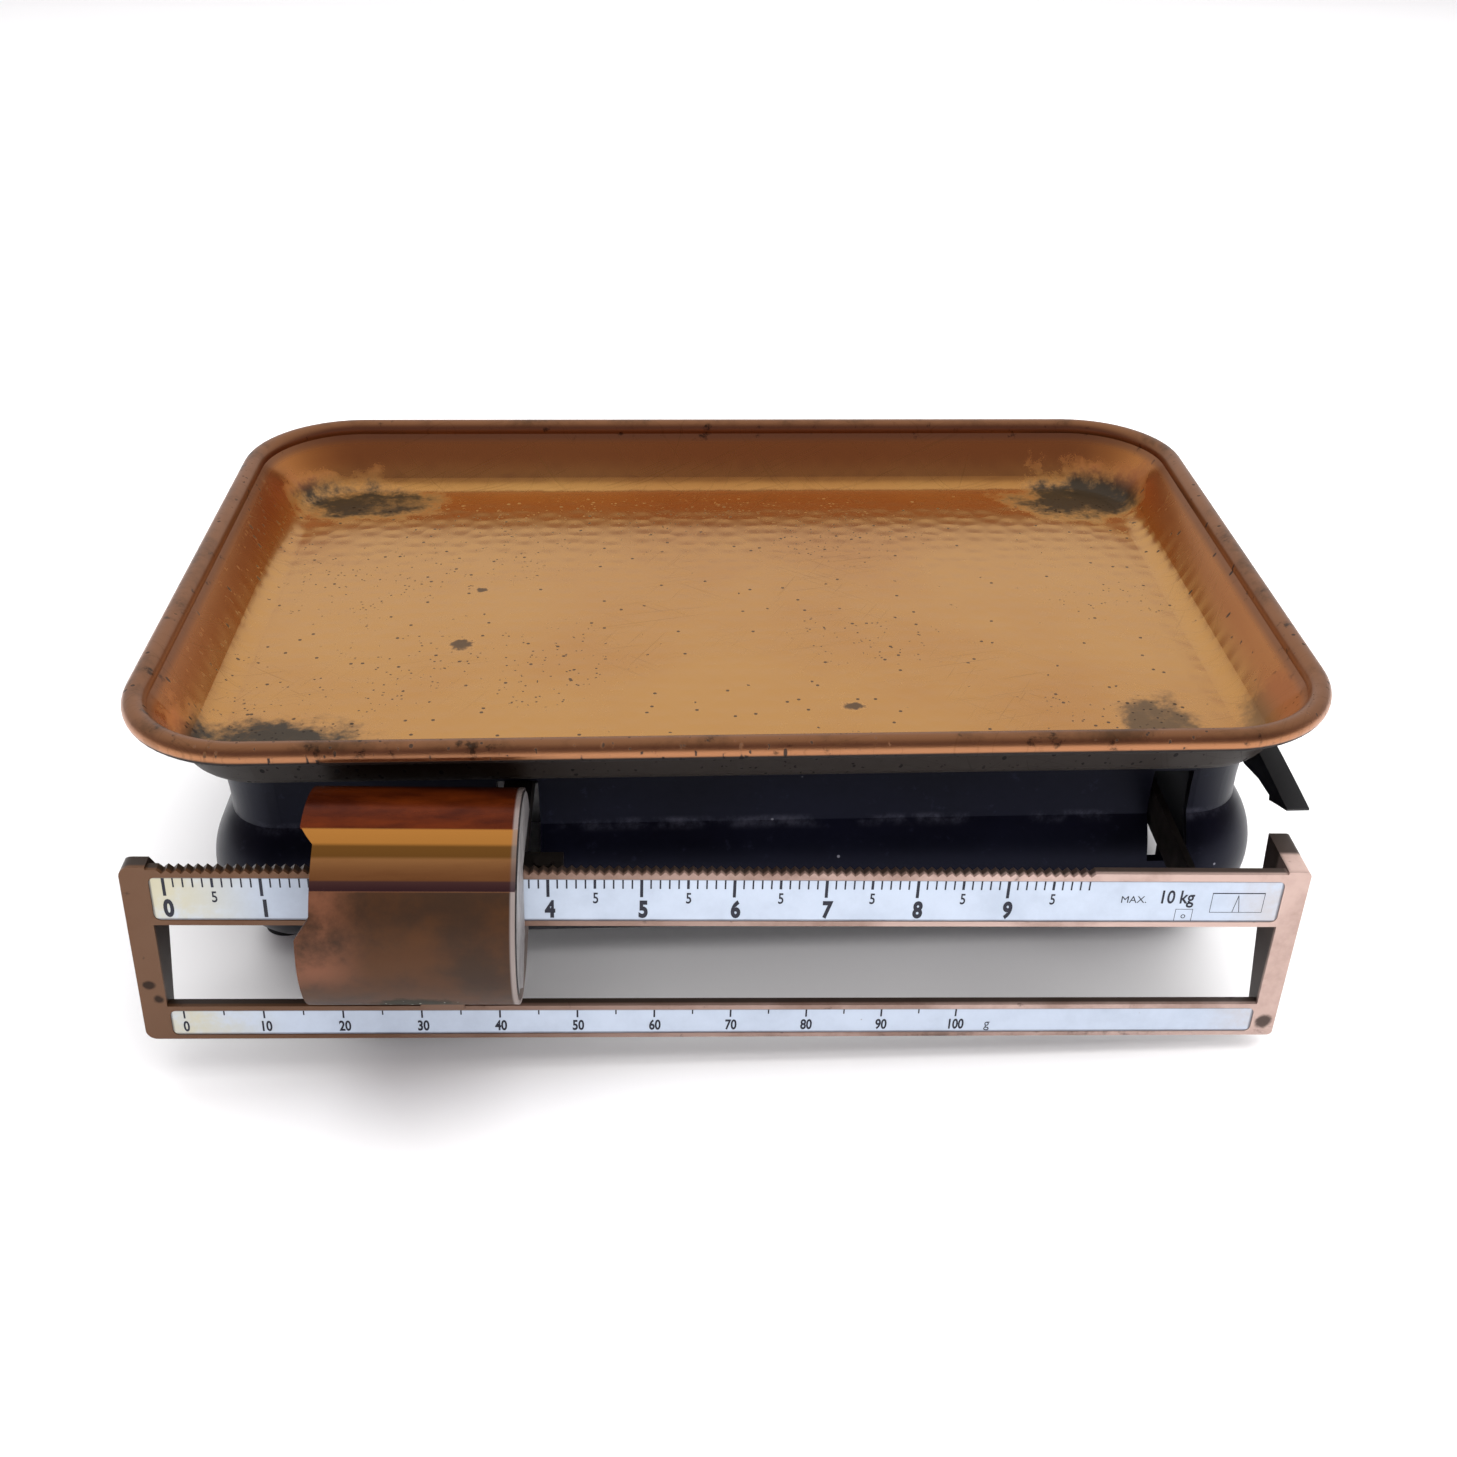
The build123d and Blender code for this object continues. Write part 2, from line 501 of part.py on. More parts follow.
# ---- large poise --------------------------------------------------------------------------------
SLEEVE_FROM = 24.0           # degrees round from the back, just above the slot
SLEEVE_TO = 360 + degrees(asin((POISE_SLOT_BOTTOM - POISE_HEIGHT) / POISE_R))
BORE = POISE_R - POISE_SHEET
with BuildPart() as poise_sleeve:
    with BuildSketch(beam_section(POISE_INDEX - POISE_BEFORE, POISE_HEIGHT)):
        with BuildLine():
            outer = CenterArc((0, 0), POISE_R, SLEEVE_FROM, SLEEVE_TO - SLEEVE_FROM)
            inner = CenterArc((0, 0), BORE, SLEEVE_FROM, SLEEVE_TO - SLEEVE_FROM)
            Line(outer @ 0, inner @ 0)
            Line(outer @ 1, inner @ 1)
        make_face()
    extrude(amount=POISE_BEFORE + POISE_AFTER)
    # reading notch in the left edge
    with BuildSketch(beam_face(-8)):
        with Locations((POISE_INDEX, 0)):
            outline((-POISE_BEFORE, 22.5), (0, 20.4), (0, 7), (-POISE_BEFORE, 1.5))
    extrude(amount=30, mode=Mode.SUBTRACT)
save(poise_sleeve, "poise_sleeve")

CORE_FROM, CORE_TO = POISE_INDEX + 0.4, POISE_INDEX + POISE_AFTER + 0.4
TOOTH_AT = POISE_INDEX + 4 * STEP
with BuildPart() as poise_core:
    with BuildSketch(beam_section(CORE_FROM, POISE_HEIGHT)):
        Circle(BORE)
        low, high = POISE_SLOT_BOTTOM - POISE_HEIGHT, POISE_SLOT_TOP - POISE_HEIGHT
        box_face(POISE_SLOT_FRONT, POISE_R + 8, low, high, mode=Mode.SUBTRACT)
        # hollow below the nose, so that only the sleeve passes under the beam
        outline(
            (-30, low - 1.5),
            (-22, low - 1.5),
            (-12, low - 9.5),
            (-4, low - 1.5),
            (-4, low),
            (30, low),
            (30, -35),
            (-30, -35),
            mode=Mode.SUBTRACT,
        )
    extrude(amount=CORE_TO - CORE_FROM)
    with BuildSketch(beam_face(4)):
        box_face(TOOTH_AT - 1, TOOTH_AT + 1, POISE_SLOT_TOP, 9)
    extrude(amount=5, mode=Mode.SUBTRACT)
save(poise_core, "poise_core")

with BuildPart() as poise_tooth:
    with BuildSketch(beam_face(4)):
        with Locations((TOOTH_AT, 0)):
            outline((-1, 9), (1, 9), (1, NOTCH_TIP + 1.3), (0, NOTCH_TIP + 0.2), (-1, NOTCH_TIP + 1.3))
    extrude(amount=5)
save(poise_tooth, "poise_tooth")

# ---- small poise: a saddle that hangs on the top edge of the lower bar, with its weight behind ---
with BuildPart() as fine_rider:
    with BuildSketch(beam_section(RIDER_AT * GRAM)):
        seat, foot = LOWER_BAR_TOP + RIDER_GAP, FRAME_BOTTOM + RIDER_LIP
        box_face(-RIDER_LIP, RIDER_BACK, seat, LOWER_BAR_TOP + RIDER_SKIN)
        box_face(BAR_THICK + RIDER_GAP, RIDER_BACK, foot, LOWER_BAR_TOP + RIDER_SKIN)
        box_face(-RIDER_LIP, -RIDER_GAP, LOWER_BAR_TOP - RIDER_LIP / 2, LOWER_BAR_TOP + RIDER_SKIN)
    extrude(amount=RIDER_LENGTH)
save(fine_rider, "fine_rider")

# ---- carrier under the tray ---------------------------------------------------------------------
SPIDER_THICK, SPIDER_PAD = 2.6, 1.0
SPIDER_TOP = TRAY_UNDER - CONTACT - SPIDER_PAD
SPIDER_LENGTH, SPIDER_WIDTH, SPIDER_BAR = 212.0, 140.0, 18.0
with BuildPart() as load_seats:
    for y in (-LOAD_Y, LOAD_Y):
        with BuildSketch(upright(y + 4)):
            with Locations((LOAD_X, LOAD_Z)):
                box_face(-5, 5, -SEAT_LIP, SEAT_DEEP)
                outline((-4.6, -SEAT_LIP), (0, CONTACT), (4.6, -SEAT_LIP), mode=Mode.SUBTRACT)
        extrude(amount=8)
save(load_seats, "load_seats")

with BuildPart() as carrier_posts:
    for y in (-LOAD_Y, LOAD_Y):
        with BuildSketch(upright(y + 4)):
            box_face(LOAD_X - 5, LOAD_X + 5, LOAD_Z + SEAT_DEEP, SPIDER_TOP - SPIDER_THICK)
        extrude(amount=8)
save(carrier_posts, "carrier_posts")

with BuildPart() as carrier_stem:
    with BuildSketch(Plane.XY.offset(STAY_Z - 6)):
        with Locations((LOAD_X, 0)):
            Rectangle(STEM, STEM)
    extrude(amount=SPIDER_TOP - SPIDER_THICK - STAY_Z + 6)
    with BuildSketch(upright(STEM)):
        with Locations((LOAD_X, STEM_PIN_Z)):
            Circle(STAY_PIN_R)
    extrude(amount=2 * STEM, mode=Mode.SUBTRACT)
save(carrier_stem, "carrier_stem")

with BuildPart() as stem_pin:
    with BuildSketch(upright(STAY_FRONT_Y + STAY_THICK + 0.2)):
        with Locations((LOAD_X, STEM_PIN_Z)):
            Circle(STAY_PIN_R)
    extrude(amount=STAY_FRONT_Y + STAY_THICK + 0.2 + STEM / 2)
save(stem_pin, "stem_pin")

with BuildPart() as stay_link:
    middle = ((FULCRUM_X + LOAD_X) / 2, (STAY_Z + STEM_PIN_Z) / 2)
    with BuildSketch(upright(STAY_FRONT_Y + STAY_THICK)):
        with Locations(Location((*middle, 0), (0, 0, -REST_TILT))):
            SlotCenterToCenter(LOAD_ARM, 10)
        with Locations((FULCRUM_X, STAY_Z), (LOAD_X, STEM_PIN_Z)):
            Circle(STAY_PIN_R + RUN, mode=Mode.SUBTRACT)
    extrude(amount=STAY_THICK)
save(stay_link, "stay_link")

with BuildPart() as tray_spider:
    with BuildSketch(Plane.XY.offset(SPIDER_TOP - SPIDER_THICK)):
        RectangleRounded(SPIDER_LENGTH, SPIDER_WIDTH, 12)
        half, open_y = SPIDER_BAR / 2, SPIDER_WIDTH / 2 - SPIDER_BAR
        box_face(LOAD_X + half, -half, -open_y, open_y, 6, mode=Mode.SUBTRACT)
        box_face(half, SPIDER_LENGTH / 2 - SPIDER_BAR, -open_y, open_y, 6, mode=Mode.SUBTRACT)
    extrude(amount=SPIDER_THICK)
save(tray_spider, "tray_spider")

with BuildPart() as spider_pads:
    with BuildSketch(Plane.XY.offset(SPIDER_TOP)):
        with GridLocations(SPIDER_LENGTH - SPIDER_BAR, SPIDER_WIDTH - SPIDER_BAR, 2, 2):
            Circle(7)
    extrude(amount=SPIDER_PAD)
save(spider_pads, "spider_pads")

# ---- tray ---------------------------------------------------------------------------------------
RIM_R = RIM_WIRE / 2
WALL_INSET = RIM_R + 1.7     # the wall ends inside the rolled rim
wall_top = TRAY_TOP - RIM_R


def bowl(skin):
    """Solid of the tray's outer skin, or of its inside when drawn in by the thickness of the sheet."""
    with BuildPart() as block:
        low, high = WALL_INSET + WALL_RUN + skin, WALL_INSET + skin
        with BuildSketch(Plane((TRAY_X, TRAY_Y, TRAY_UNDER + skin))):
            RectangleRounded(TRAY_LENGTH - 2 * low, TRAY_WIDTH - 2 * low, TRAY_CORNER - low)
        with BuildSketch(Plane((TRAY_X, TRAY_Y, wall_top))):
            RectangleRounded(TRAY_LENGTH - 2 * high, TRAY_WIDTH - 2 * high, TRAY_CORNER - high)
        loft()
        fillet(block.faces().sort_by(Axis.Z)[0].edges(), radius=COVE - skin)
    return block


with BuildPart() as tray:
    add(bowl(0.0).part)
    add(bowl(TRAY_SHEET).part, mode=Mode.SUBTRACT)
    with BuildLine(Plane((TRAY_X, TRAY_Y, wall_top))) as rim_line:
        half_x, half_y = TRAY_LENGTH / 2 - RIM_R, TRAY_WIDTH / 2 - RIM_R
        FilletPolyline(
            (0, -half_y),
            (half_x, -half_y),
            (half_x, half_y),
            (-half_x, half_y),
            (-half_x, -half_y),
            radius=[0] + 4 * [TRAY_CORNER - RIM_R],
            close=True,
        )
    with BuildSketch(Plane((TRAY_X, TRAY_Y - half_y, wall_top), x_dir=(0, -1, 0), z_dir=(1, 0, 0))):
        Circle(RIM_R)
    sweep(path=rim_line.line)
save(tray, "tray")
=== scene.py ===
"""Looks of a household steelyard balance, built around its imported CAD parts. Metres, in the CAD frame."""

import json
import math

import bpy
from mathutils import Matrix, Vector


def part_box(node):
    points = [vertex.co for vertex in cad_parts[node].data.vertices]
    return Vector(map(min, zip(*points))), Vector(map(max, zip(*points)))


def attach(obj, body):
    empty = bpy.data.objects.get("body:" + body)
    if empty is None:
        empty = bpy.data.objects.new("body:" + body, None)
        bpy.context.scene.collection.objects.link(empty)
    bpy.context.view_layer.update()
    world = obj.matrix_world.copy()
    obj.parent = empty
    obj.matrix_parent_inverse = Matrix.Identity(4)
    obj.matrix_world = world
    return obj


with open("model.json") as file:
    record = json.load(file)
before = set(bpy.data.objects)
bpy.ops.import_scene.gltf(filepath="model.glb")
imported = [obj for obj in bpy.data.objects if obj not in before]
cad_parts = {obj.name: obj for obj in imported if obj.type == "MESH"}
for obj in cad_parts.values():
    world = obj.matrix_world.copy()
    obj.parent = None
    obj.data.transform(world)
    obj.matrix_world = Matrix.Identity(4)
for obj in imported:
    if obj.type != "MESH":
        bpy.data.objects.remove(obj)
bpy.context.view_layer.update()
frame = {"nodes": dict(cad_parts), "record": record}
nodes = frame["nodes"]
MM = 0.001

# ---- the beam's own directions, as it hangs at rest ----------------------------------------------
TILT = math.radians(1.7)
FULCRUM = Vector((-64.3, -108.55, 53.0)) * MM
ZERO_FROM_FULCRUM = Vector((-89.1, 0.0, 14.4)) * MM
ALONG = Vector((math.cos(TILT), 0.0, -math.sin(TILT)))
BACK = Vector((0.0, 1.0, 0.0))
UP = Vector((math.sin(TILT), 0.0, math.cos(TILT)))
SCALE_ZERO = FULCRUM + ALONG * ZERO_FROM_FULCRUM.x + UP * ZERO_FROM_FULCRUM.z

POISE_AXIS = -5.2            # height of the poise's axis above the scale, mm
SLEEVE_LENGTH = 54.5 * MM

TRAY_LOW, TRAY_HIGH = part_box("tray")


def beam_place(along, depth, height):
    """World place of a point of the beam, from millimetres along it, behind its face and above the scale."""
    return SCALE_ZERO + (ALONG * along + BACK * depth + UP * height) * MM


# ---- materials: numbers of a surface, with Python's own operators --------------------------------
class Level:
    """One number that changes over a surface. Arithmetic on it adds Math nodes."""

    def __init__(self, finish, socket):
        self.finish = finish
        self.socket = socket

    def math(self, operation, *values):
        settings = {"operation": operation, "use_clamp": False}
        return self.finish.node("ShaderNodeMath", settings, dict(enumerate(values)))

    def __add__(self, other):
        return self.math("ADD", self, other)

    def __sub__(self, other):
        return self.math("SUBTRACT", self, other)

    def __rsub__(self, other):
        return self.math("SUBTRACT", other, self)

    def __mul__(self, other):
        return self.math("MULTIPLY", self, other)

    __radd__ = __add__
    __rmul__ = __mul__

    def larger(self, other):
        return self.math("MAXIMUM", self, other)

    def rise(self, start, end):
        """0 below start, 1 above end, with a smooth step between; start may be the larger."""
        settings = {"interpolation_type": "SMOOTHSTEP"}
        if start < end:
            return self.finish.node("ShaderNodeMapRange", settings, {0: self, 1: start, 2: end})
        return 1 - self.rise(end, start)


class Finish:
    """A material with one Principled shader."""

    def __init__(self, name, **constants):
        self.material = bpy.data.materials.new(name)
        self.material.use_nodes = True
        self.tree = self.material.node_tree
        self.shader = self.tree.nodes["Principled BSDF"]
        for socket, value in constants.items():
            self.shader.inputs[socket.replace("_", " ")].default_value = value
        self.place = self.node("ShaderNodeTexCoord", {}, {}, out="Object")

    def node(self, kind, settings, inputs, out=0):
        made = self.tree.nodes.new(kind)
        for key, value in settings.items():
            setattr(made, key, value)
        for key, value in inputs.items():
            self.feed(made.inputs[key], value)
        return Level(self, made.outputs[out])

    def feed(self, socket, value):
        if isinstance(value, Level):
            self.tree.links.new(value.socket, socket)
        elif isinstance(value, tuple) and len(value) == 3 and socket.type == "RGBA":
            socket.default_value = (*value, 1.0)
        else:
            socket.default_value = value

    def set(self, **sockets):
        for socket, value in sockets.items():
            self.feed(self.shader.inputs[socket.replace("_", " ")], value)

    def stretched(self, x, y, z):
        """The place on the object, scaled a different amount each way."""
        return self.node("ShaderNodeVectorMath", {"operation": "MULTIPLY"}, {0: self.place, 1: (x, y, z)})

    def turned(self, degrees, lengthwise, across):
        """The place on the object, turned in plan, then scaled along and across its new direction."""
        turn = {"Vector": self.place, "Angle": math.radians(degrees)}
        place = self.node("ShaderNodeVectorRotate", {"rotation_type": "Z_AXIS"}, turn)
        scaling = {0: place, 1: (lengthwise, across, 1)}
        return self.node("ShaderNodeVectorMath", {"operation": "MULTIPLY"}, scaling)

    def noise(self, scale, detail=4.0, rough=0.55, place=None):
        inputs = {"Vector": place or self.place, "Scale": scale, "Detail": detail, "Roughness": rough}
        return self.node("ShaderNodeTexNoise", {}, inputs)

    def cells(self, scale, place=None, jitter=1.0, flat=False):
        """Distance to the middle of the nearest cell; flat cells are columns that stand on the floor plan."""
        inputs = {"Vector": place or self.place, "Scale": scale, "Randomness": jitter}
        return self.node("ShaderNodeTexVoronoi", {"voronoi_dimensions": "2D" if flat else "3D"}, inputs)

    def facing(self, name):
        """How far the surface faces along one axis, -1 to 1."""
        normal = self.node("ShaderNodeTexCoord", {}, {}, out="Normal")
        return self.node("ShaderNodeSeparateXYZ", {}, {0: normal}, out=name)

    def along(self, direction, origin):
        """How far the place lies from an origin in one direction, in metres."""
        ends = {0: self.place, 1: tuple(origin)}
        offset = self.node("ShaderNodeVectorMath", {"operation": "SUBTRACT"}, ends)
        inputs = {0: offset, 1: tuple(direction)}
        return self.node("ShaderNodeVectorMath", {"operation": "DOT_PRODUCT"}, inputs, out="Value")

    def axis(self, name):
        return self.node("ShaderNodeSeparateXYZ", {}, {0: self.place}, out=name)

    def mix(self, amount, first, second):
        """One colour turning into another as the amount goes from 0 to 1."""
        colours = {0: amount, 6: first, 7: second}
        return self.node("ShaderNodeMix", {"data_type": "RGBA"}, colours, out=2)

    def near(self, spot, size, ragged_scale=90):
        """1 at a spot and 0 beyond size from it, with a ragged edge. Size is in metres, one number for each axis."""
        offset = self.node("ShaderNodeVectorMath", {"operation": "SUBTRACT"}, {0: self.place, 1: spot})
        inputs = {0: offset, 1: tuple(1 / part for part in size)}
        scaled = self.node("ShaderNodeVectorMath", {"operation": "MULTIPLY"}, inputs)
        length = self.node("ShaderNodeVectorMath", {"operation": "LENGTH"}, {0: scaled}, out="Value")
        ragged = length + (self.noise(ragged_scale, 6.0, 0.7) - 0.5) * 1.3
        return ragged.rise(0.95, 0.45)

    def bump(self, height, strength, distance):
        inputs = {"Height": height, "Strength": strength, "Distance": distance}
        self.set(Normal=self.node("ShaderNodeBump", {}, inputs))


def rgb(red, green, blue):
    """Linear colour from the usual 0 to 255 numbers."""
    parts = [part / 255 for part in (red, green, blue)]
    return tuple(p / 12.92 if p <= 0.04045 else ((p + 0.055) / 1.055) ** 2.4 for p in parts)


COPPER_GOLD = rgb(214, 158, 88)
COPPER_ORANGE = rgb(190, 108, 54)
COPPER_PINK = rgb(150, 106, 78)
OLIVE_TARNISH = rgb(44, 33, 16)
BLACK_SPOT = rgb(26, 18, 12)


def tray_copper():
    f = Finish("tray_lacquered_copper", Coat_Roughness=0.12)
    y, z = f.axis("Y"), f.axis("Z")
    hue = f.noise(9, 3.0)
    colour = f.mix(hue.rise(0.35, 0.7), COPPER_GOLD, rgb(204, 144, 78))
    # the pressed corners keep the most tarnish
    left, right = TRAY_LOW[0] + 0.034, TRAY_HIGH[0] - 0.036
    front, back = TRAY_LOW[1] + 0.036, TRAY_HIGH[1] - 0.034
    floor_z = TRAY_LOW[2]
    corners = f.near((left + 0.006, back + 0.004, floor_z), (0.036, 0.018, 0.03))
    corners = corners.larger(f.near((left + 0.002, front, floor_z), (0.040, 0.022, 0.03)))
    corners = corners.larger(f.near((right + 0.002, back + 0.004, floor_z), (0.036, 0.022, 0.03)))
    inner = f.near((right - 0.008, front + 0.006, floor_z), (0.016, 0.026, 0.03))
    corners = corners.larger(inner * 0.9)
    outer = f.near((right + 0.022, front + 0.002, floor_z + 0.01), (0.014, 0.02, 0.02))
    corners = corners.larger(outer * 0.7)
    smoke = f.noise(60, 8.0, 0.7)
    corners = corners * (0.55 + smoke.rise(0.2, 0.5) * 0.45)
    colour = f.mix(corners, colour, OLIVE_TARNISH)
    # painted reflection: the sloping walls are painted more orange than the floor, for the warm room they reflect
    wall = z.rise(floor_z + 0.003, floor_z + 0.012)
    colour = f.mix(wall * 0.6, colour, COPPER_ORANGE)
    # the rolled rim is brown on its top and worn bright outside
    rim = z.rise(TRAY_HIGH[2] - 0.0030, TRAY_HIGH[2] - 0.0004)
    rim_patches = f.noise(38, 6.0, 0.7).rise(0.44, 0.70)
    outside = z.rise(TRAY_HIGH[2] - 0.0078, TRAY_HIGH[2] - 0.0050)
    colour = f.mix(outside * 0.75, colour, COPPER_PINK)
    colour = f.mix(rim * (0.12 + rim_patches * 0.55), colour, OLIVE_TARNISH)
    rim_spots = outside * f.noise(150, 5.0, 0.65).rise(0.60, 0.70)
    colour = f.mix(rim_spots * 0.8, colour, rgb(44, 32, 22))
    # specks: fine all over, and a few large spots
    fine = f.cells(430, flat=True).rise(0.22, 0.13)
    specks = fine * f.noise(390, 1.0).rise(0.56, 0.61) * f.noise(16, 4.0).rise(0.42, 0.56)
    large = f.cells(120, flat=True).rise(0.085, 0.060)
    specks = specks.larger(large * f.noise(110, 1.0).rise(0.53, 0.57))
    specks = specks * y.rise(TRAY_HIGH[1] - 0.02, TRAY_HIGH[1] - 0.04)
    spots = f.near((TRAY_LOW[0] + 0.085, TRAY_LOW[1] + 0.096, floor_z), (0.0055, 0.005, 0.01), 500)
    back_spot = (TRAY_LOW[0] + 0.088, TRAY_LOW[1] + 0.134, floor_z)
    spots = spots.larger(f.near(back_spot, (0.003, 0.0025, 0.01), 600))
    right_spot = (TRAY_HIGH[0] - 0.135, TRAY_LOW[1] + 0.055, floor_z)
    spots = spots.larger(f.near(right_spot, (0.0045, 0.003, 0.01), 500))
    marks = specks.larger(spots)
    colour = f.mix(marks * 0.92, colour, BLACK_SPOT)
    # fine scratches in three directions
    scratches = f.noise(4, 2.0, place=f.turned(-14, 5, 420)).rise(0.64, 0.67)
    scratches = scratches.larger(f.noise(4, 2.0, place=f.turned(38, 7, 360)).rise(0.65, 0.68))
    scratches = scratches.larger(f.noise(4, 2.0, place=f.turned(-62, 9, 380)).rise(0.66, 0.69))
    scratches = scratches * f.noise(11, 2.0).rise(0.46, 0.60)
    colour = f.mix(scratches * 0.22, colour, rgb(120, 84, 44))
    # painted shade: faces that point downward, the skin below the rim, are painted nearly black for the shadow
    # beneath the tray, and lose their metal and coat
    underside_shade = f.facing("Z").rise(-0.20, -0.42)
    colour = f.mix(underside_shade * 0.98, colour, rgb(7, 6, 7))
    rough = 0.20 + smoke * 0.10 + corners * 0.35 + outside * 0.16
    rough = rough + marks * 0.5 + scratches * 0.08 + underside_shade * 0.3
    # the painted shade below the rim counts here too, with the marks and tarnish, taking away the metal
    covered_and_shaded = (marks * 0.9).larger(corners * 0.7).larger(underside_shade * 0.8)
    f.set(Base_Color=colour, Roughness=rough, Metallic=1 - covered_and_shaded)
    f.set(Coat_Weight=0.25 * (1 - underside_shade))
    # hammered floor: shallow dimples in rows
    dimples = f.cells(125, place=f.stretched(1, 1.1, 0.2), jitter=0.5, flat=True)
    height = dimples.rise(0.0, 0.6) * (1 - wall) + f.noise(60, 2.0) * 0.4
    f.bump(height - scratches * 0.03 - marks * 0.1, 0.24, 0.0005)
    return f.material


def frame_copper():
    f = Finish("beam_worn_copper")
    x, z, y = f.axis("X"), f.axis("Z"), f.axis("Y")
    worn = f.noise(24, 6.0, 0.65)
    # painted light: the frame is painted dark brown at its left end and pale pink at its right, for light falling
    # from the right
    painted_light_to_right = x.rise(-0.14, 0.10)
    colour = f.mix(painted_light_to_right, rgb(98, 68, 46), rgb(190, 164, 154))
    colour = f.mix(worn.rise(0.42, 0.68) * 0.55, colour, rgb(92, 58, 34))
    spots = f.near(tuple(beam_place(-8, 0, -36)), (0.0022, 0.004, 0.0018))
    spots = spots.larger(f.near(tuple(beam_place(-6, 0, -41)), (0.002, 0.004, 0.002)))
    spots = spots.larger(f.near(tuple(beam_place(306, 0, -50)), (0.003, 0.004, 0.003)))
    spots = spots.larger(f.noise(130, 5.0, 0.6).rise(0.64, 0.74))
    spots = spots.larger(f.noise(60, 5.0, 0.7).rise(0.50, 0.62) * z.rise(0.012, 0.008) * 0.6)
    colour = f.mix(spots * 0.8, colour, BLACK_SPOT)
    # behind the front face the copper never got polished, and dark oil sits there
    behind = y.rise(FULCRUM.y + 0.0005, FULCRUM.y + 0.0016)
    front_lug = x.rise(0.149, 0.151) * y.rise(FULCRUM.y + 0.010, FULCRUM.y + 0.008)
    colour = f.mix(behind * (1 - front_lug) * 0.93, colour, rgb(34, 26, 20))
    brushed = f.noise(6, 3.0, place=f.stretched(4, 4, 130))
    f.set(Base_Color=colour, Roughness=0.34 + worn * 0.22 + spots * 0.3, Metallic=0.5 - behind * 0.3)
    f.bump(brushed * 0.3 + worn * 0.6 - spots * 0.3, 0.15, 0.0003)
    return f.material


def poise_copper():
    f = Finish("poise_tarnished_copper", Specular_IOR_Level=0.2)
    y = f.axis("Y")
    height = f.along(UP, beam_place(0, 0, POISE_AXIS))
    start = f.along(ALONG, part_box("poise_sleeve")[0])
    streaks = f.noise(5, 6.0, 0.6, place=f.stretched(5, 12, 45))
    patches = f.noise(32, 7.0, 0.65)
    # painted reflections: bands by height along the sleeve, a darker band, a bright gold band, a dark red-brown
    # upper back and a purple-grey line, stand in for the room reflected in the copper
    colour = f.mix(streaks.rise(0.35, 0.7), rgb(176, 124, 76), rgb(156, 104, 62))
    colour = f.mix(height.rise(0.0234, 0.0241), colour, rgb(128, 86, 40))
    colour = f.mix(height.rise(0.0253, 0.0259), colour, rgb(204, 138, 66))
    # painted reflection: the upper back of the sleeve is painted dark red-brown, for the dark base and tray
    # reflected there
    dark_crown_reflection = y.rise(FULCRUM.y - 0.0092, FULCRUM.y - 0.0085) * height.rise(0.0, 0.01)
    crown_reflection_colour = f.mix(streaks.rise(0.30, 0.65), rgb(112, 46, 12), rgb(62, 20, 6))
    colour = f.mix(dark_crown_reflection, colour, crown_reflection_colour)
    low = height.rise(0.0181, 0.0177)
    # painted reflection: a purple-grey line across the sleeve above its lower half
    line = height.rise(0.0201, 0.0197) * (1 - low)
    colour = f.mix(line * 0.85, colour, rgb(104, 76, 80))
    # the brown lower half is tarnish, and is also painted dark for the dim room it reflects
    brown = f.mix(patches.rise(0.35, 0.62), rgb(70, 42, 21), rgb(44, 30, 21))
    colour = f.mix(low * 0.97, colour, brown)
    worn = start.rise(0.020, 0.004) * low * height.rise(-0.012, -0.002) * patches.rise(0.62, 0.42)
    colour = f.mix(worn * 0.6, colour, rgb(132, 84, 62))
    # a spill has left a grey pool with pale grains near the lower edge
    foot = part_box("poise_sleeve")[0]
    pool = f.near((foot[0] + 0.028, foot[1] + 0.010, foot[2] + 0.010), (0.018, 0.02, 0.006), 160)
    colour = f.mix(pool * 0.9, colour, rgb(46, 46, 38))
    grains = f.cells(420).rise(0.16, 0.08) * pool
    colour = f.mix(grains, colour, rgb(196, 196, 184))
    lip = f.axis("Z").rise(foot[2] + 0.0026, foot[2] + 0.0014)
    lip = lip.larger(start.rise(SLEEVE_LENGTH - 0.0016, SLEEVE_LENGTH - 0.0009))
    colour = f.mix(lip * 0.6, colour, rgb(170, 160, 156))
    f.set(Base_Color=colour, Roughness=0.10 + low * 0.40 + dark_crown_reflection * 0.14 + pool * 0.2)
    f.set(Metallic=1 - (low * 0.8).larger(dark_crown_reflection * 0.35))
    f.bump(patches * low, 0.10, 0.0002)
    return f.material


def cast_metal():
    f = Finish("poise_bare_casting")
    grey = f.noise(45, 7.0, 0.65)
    # painted shade: every face but the two ends is painted near black, for the shade beneath the tray's rim; the
    # ends keep the grey of the bare casting
    ends = f.facing("X")
    unshaded_ends = ends.math("ABSOLUTE", ends).rise(0.6, 0.8)
    colour = f.mix(grey.rise(0.3, 0.7), rgb(196, 192, 190), rgb(140, 136, 136))
    scratches = f.noise(4, 2.0, place=f.stretched(1, 40, 300)).rise(0.62, 0.68)
    colour = f.mix(scratches * 0.6, colour, rgb(90, 88, 90))
    colour = f.mix(unshaded_ends, rgb(30, 28, 28), colour)
    f.set(Base_Color=colour, Roughness=0.42 + grey * 0.25, Metallic=unshaded_ends * 0.6)
    f.bump(grey * 0.5 - scratches * 0.2 + f.noise(400, 2.0) * 0.15, 0.35, 0.0004)
    return f.material


